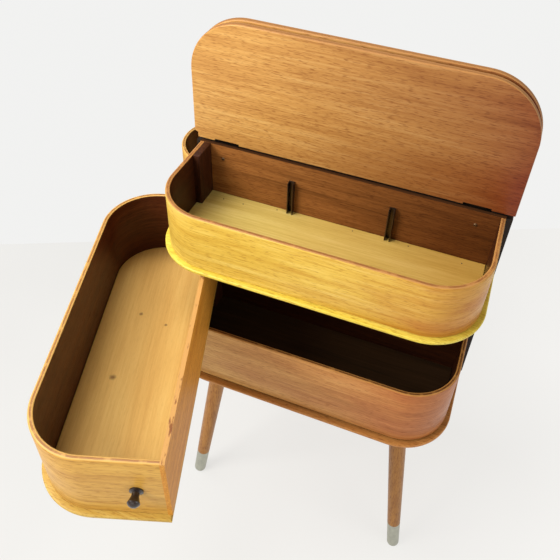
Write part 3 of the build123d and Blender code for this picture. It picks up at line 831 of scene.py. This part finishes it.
def lid_leaves(made):
    y = LID_BACK - NOTCH
    under = HINGE.z - KNUCKLE - LEAF_PLAY
    for x in (-HINGE_X, HINGE_X):
        eased_box(made, (x - LID_LEAF, y, LID_LOW + LEAF_PLAY), (x + LID_LEAF, y + LEAF, under),
                  LEAF_EASE)
        for side in (-1, 1):
            middle = x + side * (THIRD + PLAY)
            eased_box(made, (middle - KNUCKLE_HALF, y, under - LEAF),
                      (middle + KNUCKLE_HALF, y + LEAF, HINGE.z), LEAF_EASE)
            level_bar(made, (middle, HINGE.y, HINGE.z), KNUCKLE, 2 * KNUCKLE_HALF)


def spine_leaves(made):
    y = SPINE_LEAF_BACK
    top = HINGE.z + LEAF / 2
    for x in (-HINGE_X, HINGE_X):
        eased_box(made, (x - SPINE_LEAF, y - SPINE_FOOT, SPINE_TOP),
                  (x + SPINE_LEAF, y, SPINE_TOP + LEAF), LEAF_EASE)
        eased_box(made, (x - SPINE_LEAF, y - LEAF, SPINE_TOP), (x + SPINE_LEAF, y, top), LEAF_EASE)
        eased_box(made, (x - KNUCKLE_HALF, HINGE.y, HINGE.z - LEAF / 2),
                  (x + KNUCKLE_HALF, y, top), LEAF_EASE)
        level_bar(made, (x, HINGE.y, HINGE.z), KNUCKLE, 2 * KNUCKLE_HALF)


for half in HALVES:
    mesh = gathered(f"{half}_lid_leaves", raised(half), bronze, lid_leaves)
    as_piece(mesh.name, mesh, f"{half}_lid", "hinge_metal", f"{half}_lid_hinge_leaves")
    mesh = gathered(f"{half}_spine_leaves", mirrored(half), bronze, spine_leaves)
    as_piece(mesh.name, mesh, "carcass", "hinge_metal", f"{half}_spine_hinge_leaves")
    print(half, "hinge leaves")

# %% [markdown]
# ## Corner blocks and divider channels
# In the top tray's back left corner stands a sawn block, level with the rim, that takes the
# head of the drawer's rod.  Two pairs of sheet-metal channels stand on the long walls; loose
# dividers once slid into them.

# %% Blocks and channels
BLOCK_LOW, BLOCK_HIGH = (-0.194, -0.0500, LINING_TOP), (-0.185, -0.0161, TOP_RIM)
CHANNEL_X, CHANNEL_HALF, CHANNEL_REACH = (-0.0690, 0.0665), 0.0040, 0.0080
CHANNEL_HIGH, SHEET = 0.6130, 0.0014             # top end, thickness of the sheet
WEB_EASE, SAWN_EASE = 0.0003, 0.0005


def corner_block(made):
    eased_box(made, BLOCK_LOW, BLOCK_HIGH, SAWN_EASE)


def channels(made):
    """A web on the wall and two flanges that reach inwards, for each channel."""
    for x in CHANNEL_X:
        for wall_y, inward in ((BACK_FACE, -1), (TRAY_FRONT + WALL, 1)):
            far = wall_y + inward * CHANNEL_REACH
            web = wall_y + inward * SHEET
            eased_box(made, (x - CHANNEL_HALF, min(wall_y, web), LINING_TOP),
                      (x + CHANNEL_HALF, max(wall_y, web), CHANNEL_HIGH), WEB_EASE)
            for side in (-1, 1):
                outer = x + side * CHANNEL_HALF
                inner = outer - side * SHEET
                eased_box(made, (min(outer, inner), min(wall_y, far), LINING_TOP),
                          (max(outer, inner), max(wall_y, far), CHANNEL_HIGH), SAWN_EASE)


# the block's dark inside tone is a stain, darkened further as painted shade
block_wood = solid_wood("corner_block_wood", "Z", TONES["inside"], 2.2, 0.5, 0.0)
for half in HALVES:
    mesh = gathered(f"{half}_top_corner_block", mirrored(half), block_wood, corner_block)
    as_piece(mesh.name, mesh, "carcass", "tray_inside")
    mesh = gathered(f"{half}_channels", mirrored(half), bronze, channels)
    as_piece(mesh.name, mesh, "carcass", "channel_metal", f"{half}_divider_channels")
print("blocks and channels stand")

# %% [markdown]
# ## Screws and pins
# Low slotted screws hold the trays' backs to the spine, and small pins hold down the linings.
# The same little head is repeated many times, which is what Geometry Nodes' Instance on Points
# is for: one tree makes a head, cuts its slot, and sets a copy of it on every point, turned the
# way that the point says.

# %% Tree for fastener heads
HEAD_SIDES = 24
CROWN = 0.72                     # flat on top of a head, as a share of its radius
SLOT_LENGTH = 3.0                # length of the bar that cuts the slot, in head radii


def head_tree():
    tree = Grower("fastener_heads", (("Head Radius", "Float"), ("Head Height", "Float"),
                                     ("Slot Width", "Float"), ("Turn Seed", "Int"),
                                     ("Metal", "Material")))
    put = tree.inputs
    cone = tree.add("GeometryNodeMeshCone")
    tree.feed(cone, Vertices=HEAD_SIDES, Radius_Top=tree.times(put["Head Radius"], CROWN),
              Radius_Bottom=put["Head Radius"], Depth=put["Head Height"])
    size = tree.add("ShaderNodeCombineXYZ")
    tree.feed(size, X=tree.times(put["Head Radius"], SLOT_LENGTH), Y=put["Slot Width"],
              Z=put["Head Height"])
    bar = tree.feed(tree.add("GeometryNodeMeshCube"), Size=size.outputs[0])
    lift = tree.add("ShaderNodeCombineXYZ")
    tree.feed(lift, Z=put["Head Height"])
    raised_bar = tree.feed(tree.add("GeometryNodeTransform"), Geometry=bar,
                           Translation=lift.outputs[0])
    cut = tree.add("GeometryNodeMeshBoolean", operation="DIFFERENCE", solver="EXACT")
    tree.group.links.new(cone.outputs["Mesh"], cut.inputs[0])
    tree.group.links.new(raised_bar, cut.inputs[1])
    way = tree.add("GeometryNodeInputNamedAttribute", data_type="FLOAT_VECTOR")
    way.inputs["Name"].default_value = "way"
    aim = tree.feed(tree.add("FunctionNodeAlignEulerToVector", axis="Z"),
                    Vector=way.outputs["Attribute"])
    turn = tree.add("FunctionNodeRandomValue", data_type="FLOAT")
    turn.inputs[3].default_value = pi            # the largest turn; 0 is the smallest
    tree.group.links.new(put["Turn Seed"], turn.inputs["Seed"])
    spin = tree.add("ShaderNodeCombineXYZ")
    tree.group.links.new(turn.outputs[1], spin.inputs["Z"])
    both = tree.add("FunctionNodeRotateEuler", rotation_type="EULER", space="LOCAL")
    tree.group.links.new(aim, both.inputs["Rotation"])
    tree.group.links.new(spin.outputs[0], both.inputs["Rotate By"])
    heads = tree.feed(tree.add("GeometryNodeInstanceOnPoints"), Points=put["Geometry"],
                      Instance=cut.outputs["Mesh"], Rotation=both.outputs[0])
    tree.end(heads, put["Metal"])
    return tree


heads = head_tree()
print("head inputs", [item.name for item in heads.group.interface.items_tree])

# %% [markdown]
# ## The points that heads stand on
# Each head needs a point to stand on and a way to look.  The points are given once, in the
# closed front half, and the rear half's are their mirror image.

# %% Set the screws and pins
TURN_SEED = 4


def fasteners(name, spots, place, radius, height, slot, material):
    """Heads at (point, way) pairs, given in the closed front half."""
    mesh = bpy.data.meshes.new(name + "_points")
    mesh.from_pydata([place @ Vector(point) for point, _ in spots], [], [])
    way = mesh.attributes.new("way", "FLOAT_VECTOR", "POINT")
    turn = place.to_3x3()
    for item, (_, direction) in zip(way.data, spots):
        item.vector = turn @ Vector(direction)
    return grown(name, mesh, heads, {"Head Radius": radius, "Head Height": height,
                                     "Slot Width": slot, "Turn Seed": TURN_SEED,
                                     "Metal": material})


TOWARDS_FRONT, UP = (0.0, -1.0, 0.0), (0.0, 0.0, 1.0)
SCREWS = [((x, BACK_FACE, z), TOWARDS_FRONT) for z in (0.619, 0.426) for x in (-0.168, 0.168)]
PINS = [((x, y, 0.5620), UP) for x, y in ((-0.163, -0.0290), (-0.134, -0.0285), (-0.087, -0.0215),
                                          (0.020, -0.0220), (0.095, -0.0215), (0.165, -0.0260),
                                          (-0.120, -0.1480), (0.010, -0.1485), (0.125, -0.1480))]
SCREW_HEAD, PIN_HEAD = (0.0025, 0.0009, 0.0006), (0.0009, 0.0003, 0.0001)  # radius, height, slot
for half in HALVES:
    mesh = fasteners(f"{half}_screw_heads", SCREWS, mirrored(half), *SCREW_HEAD, aged_brass)
    as_piece(mesh.name, mesh, "carcass", "screw_metal", f"{half}_tray_screws")
    print(mesh.name, len(mesh.polygons), "faces")
    mesh = fasteners(f"{half}_lining_pins", PINS, mirrored(half), *PIN_HEAD, bronze)
    as_piece(mesh.name, mesh, "carcass", "screw_metal")
    print(mesh.name, len(mesh.polygons), "faces")

# %% [markdown]
# ## Finishes for the solids that keep their shape
# Back boards, lips, linings, legs and the spine have the right shape in the measured model,
# so they only get a finish.  A drawer's back board is honey-coloured on the side that shows
# outside and stained inside, so its material asks which way the surface faces.  Its top edge is
# chipped by use.  On the other back boards the top edge is painted near black as shadow, for
# the gaps under the lids and the drawers.  The top tray's board is darker towards the right,
# away from the window.

# %% Back boards
CHIPPED_RIM = (0.56, 0.29, 0.085)                # bare wood on a back board's top edge
CHIP_SHADE, RIM_PAINTED_SHADOW = 1.8, 0.4                # dark ply in the chips; painted shadow on an unchipped top edge
SLOPE_SHADE = (0.42, 0.33, 0.28)


def back_board(name, outside_way, inside, seed, scuffed=False, sloping=False, swing=0.0):
    """Finish of a straight board that closes a tray towards the spine."""
    recipe = Recipe(name)
    place = recipe.turned(recipe.place(), -swing)
    inner, relief = veneered(recipe, place, "X", TONES[inside], seed)
    outer, _ = veneered(recipe, place, "X", TONES["back_outside"], seed + 2.9)
    if sloping:
        slope = recipe.range(recipe.axis(place, 0), -0.16, 0.14)
        inner = recipe.mix(slope, inner, recipe.mix(1.0, inner, SLOPE_SHADE, "MULTIPLY"))
    out = recipe.math("GREATER_THAN", recipe.facing(outside_way), -0.4)
    colour = recipe.mix(out, inner, outer)
    scuffs = recipe.noise(recipe.mapping(place, scale=(70.0, 260.0, 60.0)), 1.0, 3.0)
    rim = recipe.math("GREATER_THAN", recipe.facing(UP), 0.7)
    chips = recipe.range(scuffs, 0.57, 0.66, 0.0 if scuffed else 1.0, 1.0)
    # in the chips the dark ply's own tone; on an unchipped top edge, near-black painted shadow
    shade = CHIP_SHADE if scuffed else RIM_PAINTED_SHADOW
    worn = recipe.mix(chips, CHIPPED_RIM, tuple(c * shade for c in DARK_PLY))
    recipe.bump(relief, 0.25)
    return recipe.finish(recipe.mix(rim, colour, worn), 0.5)


def outside_way(half):
    """Direction that a drawer's back faces, as it stands open."""
    return tuple(swung(half).to_3x3() @ Vector((0.0, 1.0, 0.0)))


boards = {}
for half in HALVES:
    spine_side = (0.0, 1.0 if half == "front" else -1.0, 0.0)
    boards[f"{half}_top_tray_back"] = back_board(
        f"{half}_top_back", spine_side, "back_inside", 7.7, sloping=True)
    boards[f"{half}_bottom_tray_back"] = back_board(
        f"{half}_bottom_back", spine_side, "inside", 5.1)
    boards[f"{half}_drawer_back"] = back_board(
        f"{half}_drawer_back", outside_way(half), "inside", 8.3, True, swing=SWING[half])
print("back boards", len(boards))

# %% [markdown]
# ## Linings
# The linings are pale loose panels with a weak grain and slow stains.  The front drawer's is a
# knotty offcut.  A knot is a dark eye, which here is a distance from a point, wavered with a
# little noise.  The top tray's lining is darkened towards the right as painted shade, and the
# bottom trays' linings are near black as painted shadow.

# %% Linings
# STAIN is the linings' own staining; LINING_SHADE is painted shade
STAIN, LINING_SHADE = (0.80, 0.68, 0.55), (0.85, 0.66, 0.50)
EYE = (0.16, 0.06, 0.02)


def knotty_lining(name, tones, seed, knots=(), sloping=False, swing=0.0):
    """Finish of a lining; each knot is a point and the size of its eye."""
    recipe = Recipe(name)
    place = recipe.turned(recipe.place(), -swing)
    colour, relief = veneered(recipe, place, "X", TONES[tones], seed, 0.12)
    stain = recipe.noise(recipe.mapping(place, scale=(5.0, 16.0, 11.0)), 1.0, 2.0)
    shade = recipe.range(stain, 0.35, 0.7, 0.0, 0.45)
    colour = recipe.mix(shade, colour, recipe.mix(1.0, colour, STAIN, "MULTIPLY"))
    # painted shade: darker towards the right, away from the window light
    if sloping:
        slope = recipe.range(recipe.axis(place, 0), -0.10, 0.16)
        colour = recipe.mix(slope, colour, recipe.mix(1.0, colour, LINING_SHADE, "MULTIPLY"))
    waver = recipe.noise(place, 160.0, 2.0)
    for point, size in knots:
        away = recipe.math("ADD", recipe.distance(point),
                           recipe.range(waver, 0.3, 0.7, -size * 0.3, size * 0.3))
        eye = recipe.range(away, size * 0.4, size * 1.6, 0.75, 0.0)
        colour = recipe.mix(eye, colour, EYE)
    recipe.bump(relief, 0.15)
    return recipe.finish(colour, 0.62)


KNOTS = (((-0.1976, -0.2760, 0.4555), 0.0030), ((-0.2183, -0.1761, 0.4555), 0.0022),
         ((-0.1785, -0.1800, 0.4555), 0.0016))
same_in_both = {
    "top_tray_lining": knotty_lining("top_lining", "top_lining", 5.2, sloping=True),
    # near black as painted shadow, deep under the drawers
    "bottom_tray_lining": knotty_lining("bottom_lining", "bottom_lining", 4.1),
    "top_tray_base": solid_wood("top_lip", "X", TONES["top_lip"], 1.7),
    "drawer_base": solid_wood("drawer_lip", "X", TONES["drawer_lip"], 2.7),
}
print("finishes that both halves share", list(same_in_both))

# %% [markdown]
# ## The other finishes
# Most solids take the finish of their slot.  The few that differ, such as the lips of the base
# plates, the linings and the back boards, are named one by one.

# %% Finishes by slot
leg_wood = solid_wood("leg_wood", "Z", TONES["leg"], 4.4, 0.4, 0.15)
finishes = {
    "lip_wood": solid_wood("base_lip", "X", TONES["base_lip"], 1.3),
    # near black as painted shadow in the recess under the bottom trays
    "plinth": solid_wood("plinth_dark", "XY", TONES["plinth"], 0.4, 0.6, 0.0),
    "spine_wood": solid_wood("spine_black", "XY", TONES["spine"], 2.6, 0.5),
    "leg_wood": leg_wood,
    "tray_inside": block_wood,
    "ferrule_metal": metal("ferrule_satin", (0.46, 0.46, 0.38), 0.40, 0.75),
    "hinge_metal": bronze,
    "rod_steel": metal("rod_steel", (0.5, 0.5, 0.5), 0.3),
    "knob_wood": solid_wood("knob_lacquer", "Z", TONES["knob"], 2.0, 0.2, 0.8, 0.1),
    # the solids of these four slots are replaced by the pieces above
    "tray_wood": leg_wood, "lid_wood": leg_wood, "channel_metal": bronze, "screw_metal": bronze,
}
special = dict(boards)
for half in HALVES:
    for name, material in same_in_both.items():
        special[f"{half}_{name}"] = material
    special[f"{half}_drawer_lining"] = knotty_lining(
        f"{half}_drawer_lining", "drawer_lining", 1.9, KNOTS if half == "front" else (),
        swing=SWING[half])
print("slots", len(finishes), "solids named one by one", len(special))

# %% [markdown]
# ## Dressing the solids
# A measured solid keeps its mesh and its place, and only gets a material.

# %% Give every solid its finish
slot_of = {part["node"]: part["material_slot"] for part in frame["record"]["subparts"]}
for name, solid in nodes.items():
    solid.data.materials.clear()
    solid.data.materials.append(special.get(name) or finishes[slot_of[name]])
print("dressed", len(nodes))

# %% [markdown]
# ## The room
# The box stands on a pale floor that ends at a pale wall.  The floor is lit so strongly on the
# photograph that it is nearly white, so most of its tone is a glow, brighter to the right, and
# only the rest takes shadows.  The wall is the world's own colour behind the floor's far edge,
# so nothing stands in the way of a look from behind.

# %% Floor and wall
FLOOR_GLOW = (0.90, 0.89, 0.865, 1.0)
FLOOR_DARK, FLOOR_LIGHT = (0.165, 0.165, 0.161), (0.19, 0.19, 0.186)
WALL_LINE = ((-12.0, -5.119), (12.0, 6.401))      # where the floor meets the wall
FLOOR_NEAR = -14.0                                # the floor's edge behind the camera


def studio_white():
    recipe = Recipe("studio_white")
    dust = recipe.noise(recipe.place(), 2.0, 2.0)
    tone = recipe.ramp(dust, (0.3, FLOOR_DARK), (0.7, FLOOR_LIGHT))
    recipe.surface.inputs["Emission Color"].default_value = FLOOR_GLOW
    glow = recipe.range(recipe.axis(recipe.place(), 0), -0.4, 0.6, 0.70, 0.88)
    recipe.feed(recipe.surface.inputs["Emission Strength"], glow)
    return recipe.finish(tone, 0.8)


def studio_floor():
    mesh = bpy.data.meshes.new("studio_floor")
    (x0, y0), (x1, y1) = WALL_LINE
    mesh.from_pydata([(x0, FLOOR_NEAR, 0.0), (x1, FLOOR_NEAR, 0.0), (x1, y1, 0.0), (x0, y0, 0.0)],
                     [], [(0, 1, 2, 3)])
    mesh.materials.append(studio_white())
    floor = bpy.data.objects.new("studio_floor", mesh)
    bpy.context.scene.collection.objects.link(floor)


studio_floor()
print("floor ends at", WALL_LINE)

# %% [markdown]
# ## The lights
# A broad window light comes from the left and a little from the front.  A light high on the
# same side lets the walls throw a soft shadow into the trays, and two weak lights keep the
# front and the right from going dark.

# %% Lights
WHITE = (1.0, 1.0, 1.0)
LIGHTS = (                       # name, place, target, size, power, colour
    ("window", (-1.10, -1.10, 1.60), (-0.05, -0.05, 0.5), (0.9, 0.9), 34.0, (1.0, 0.98, 0.94)),
    ("ceiling", (-0.80, 0.0, 2.4), (-0.1, -0.1, 0.4), (0.9, 0.9), 24.0, WHITE),
    ("front", (0.1, -2.3, 1.1), (0.0, 0.0, 0.45), (1.6, 1.0), 7.0, WHITE),
    ("right", (1.7, -0.7, 1.2), (-0.2, -0.2, 0.45), (1.2, 1.2), 10.0, WHITE),
)


def soft_light(name, place, target, size, power, colour):
    data = bpy.data.lights.new(name, "AREA")
    data.shape = "RECTANGLE"
    data.size, data.size_y = size
    data.energy = power
    data.color = colour
    lamp = bpy.data.objects.new(name, data)
    lamp.location = place
    aim = Vector(target) - Vector(place)
    lamp.rotation_euler = aim.to_track_quat("-Z", "Y").to_euler()
    bpy.context.scene.collection.objects.link(lamp)


for light in LIGHTS:
    soft_light(*light)
print("lights", [light[0] for light in LIGHTS])

# %% [markdown]
# ## The wall behind and the light of the room
# The world does two jobs here, told apart by Light Path.  The camera sees it as the pale wall,
# and the box gets a weaker light from it, so its colours don't wash out.

# %% The world
WALL_TONE = (0.885, 0.885, 0.875, 1.0)
ROOM_TONE, ROOM_POWER = (0.97, 0.98, 1.0, 1.0), 0.30


def room_world():
    """A pale wall for the camera, and a weaker light from all round for the object."""
    world = bpy.data.worlds.new("room")
    world.use_nodes = True
    tree = world.node_tree
    tree.nodes.clear()
    seen, lit = (tree.nodes.new("ShaderNodeBackground") for _ in range(2))
    seen.inputs[0].default_value, seen.inputs[1].default_value = WALL_TONE, 1.0
    lit.inputs[0].default_value, lit.inputs[1].default_value = ROOM_TONE, ROOM_POWER
    path = tree.nodes.new("ShaderNodeLightPath")
    choose = tree.nodes.new("ShaderNodeMixShader")
    tree.links.new(path.outputs["Is Camera Ray"], choose.inputs[0])
    tree.links.new(lit.outputs[0], choose.inputs[1])
    tree.links.new(seen.outputs[0], choose.inputs[2])
    tree.links.new(choose.outputs[0], tree.nodes.new("ShaderNodeOutputWorld").inputs[0])
    bpy.context.scene.world = world


room_world()
bpy.context.scene.view_settings.view_transform = "Standard"
print("world set")
